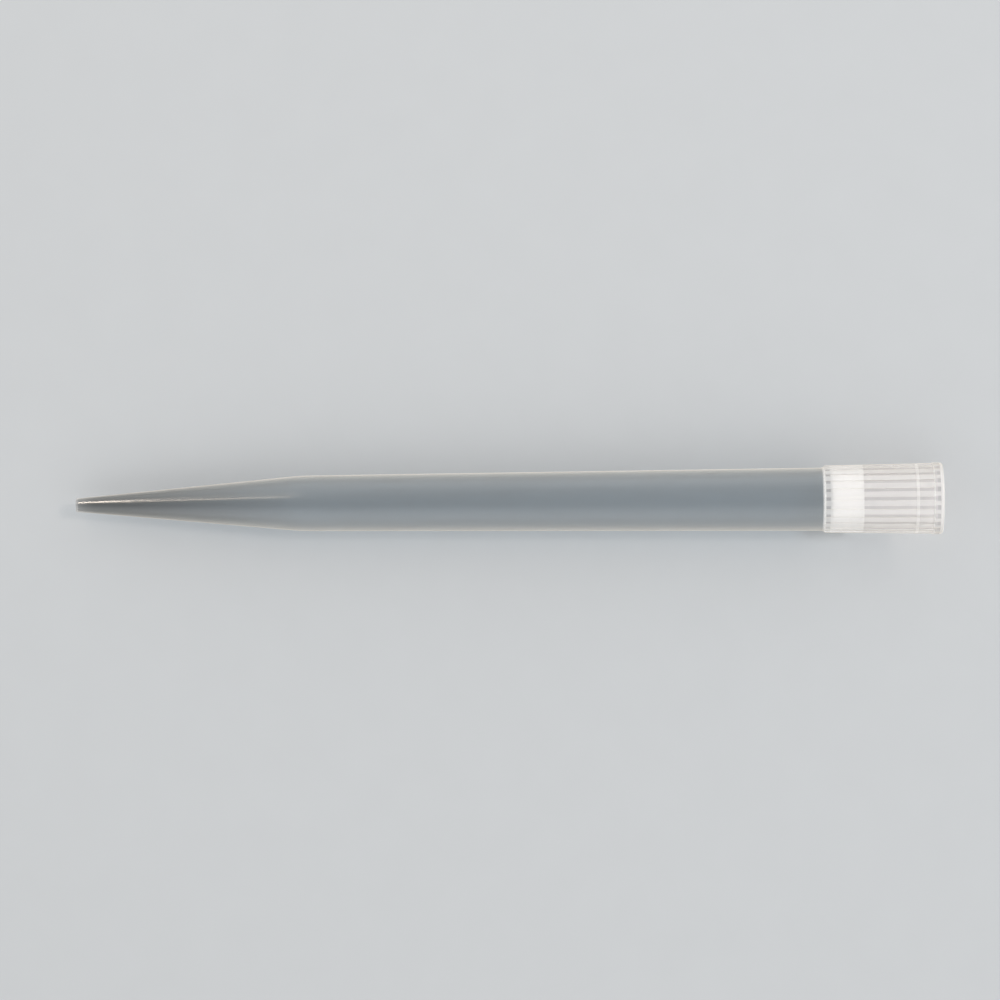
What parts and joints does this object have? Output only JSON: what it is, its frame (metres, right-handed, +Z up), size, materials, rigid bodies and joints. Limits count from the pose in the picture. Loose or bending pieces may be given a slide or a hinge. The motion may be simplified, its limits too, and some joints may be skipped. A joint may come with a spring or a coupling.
{
  "type": "filter pipette tip",
  "caption": "Slender translucent pipette tip with a fine cone, a long thin-walled barrel, a ribbed collar with a raised rim, and a white filter plug inside the collar.",
  "frame": {"origin": "on the surface that the tip lies on, under the middle of its length", "axes": "+X along the tip towards the mouth, +Z up. The tip's own axis rises 0.75 degrees from +X towards the mouth, because the rim holds that end higher than the barrel holds the other"},
  "size_m": [0.1501, 0.0124, 0.0124],
  "materials": {
    "natural_polypropylene": "translucent, finely frosted",
    "porous_polyethylene": "matte"
  },
  "bodies": {
    "root": {"tip_body": "natural_polypropylene", "filter_plug": "porous_polyethylene"}
  },
  "joints": []
}
